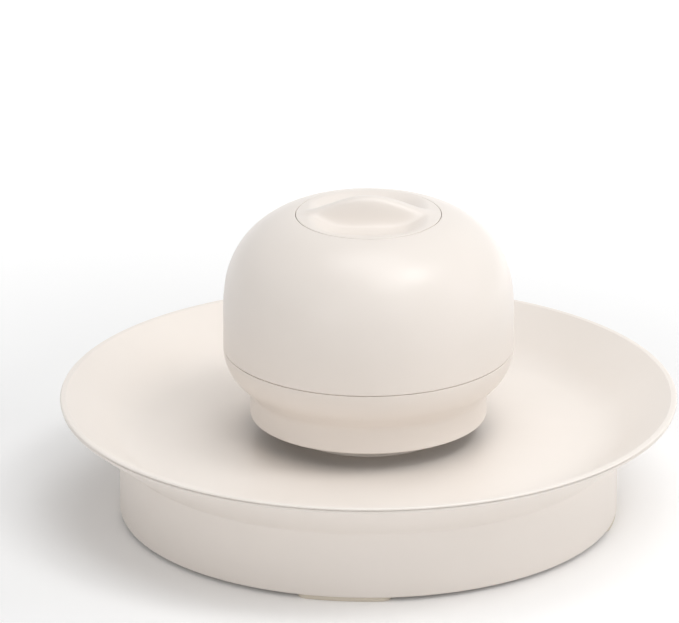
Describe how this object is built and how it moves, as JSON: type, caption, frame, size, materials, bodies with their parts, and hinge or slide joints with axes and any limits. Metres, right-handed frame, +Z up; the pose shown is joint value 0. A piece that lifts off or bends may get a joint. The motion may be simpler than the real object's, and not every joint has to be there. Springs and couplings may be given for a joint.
{
  "type": "gravity pet feeder",
  "caption": "Round gravity feeder for dry pet food: a shallow flared dish on a hollow base, with a domed lift-off hopper over a spreading cone and a pinch-grip lid.",
  "frame": {"origin": "on the floor under the middle of the dish", "axes": "+Z is up along the feeder's axis, -Y is the front, +X is to the right seen from the front"},
  "size_m": [0.36, 0.36, 0.1937],
  "materials": {
    "dish_plastic": "satin",
    "base_plastic": "matte",
    "hopper_plastic": "satin",
    "lid_plastic": "satin",
    "inner_plastic": "satin",
    "pad_rubber": "matte",
    "seal_rubber": "satin",
    "screw_steel": "brushed"
  },
  "bodies": {
    "tray": {"dish": "dish_plastic", "base_shell": "base_plastic", "bottom_plate": "base_plastic", "plate_screws": "screw_steel", "foot_pad_front": "pad_rubber", "foot_pad_right": "pad_rubber", "foot_pad_rear": "pad_rubber", "foot_pad_left": "pad_rubber"},
    "cone": {"flow_cone": "inner_plastic"},
    "ring": {"outlet_ring": "hopper_plastic"},
    "dome": {"hopper_dome": "hopper_plastic"},
    "lid": {"lid_cap": "lid_plastic", "lid_plug": "inner_plastic", "lid_seal": "seal_rubber"}
  },
  "joints": [
    {"name": "cone_twist", "type": "hinge", "parent": "tray", "child": "cone", "pos_m": [0, 0, 0.049], "axis": [0, 0, 1], "range_deg": [0, 40]},
    {"name": "hopper_lift", "type": "slide", "parent": "cone", "child": "ring", "axis": [0, 0, 1], "range_m": [0, 0.06]},
    {"name": "dome_twist", "type": "hinge", "parent": "ring", "child": "dome", "pos_m": [0, 0, 0.1023], "axis": [0, 0, 1], "range_deg": [0, 18]},
    {"name": "lid_lift", "type": "slide", "parent": "dome", "child": "lid", "axis": [0, 0, 1], "range_m": [0, 0.05]}
  ]
}
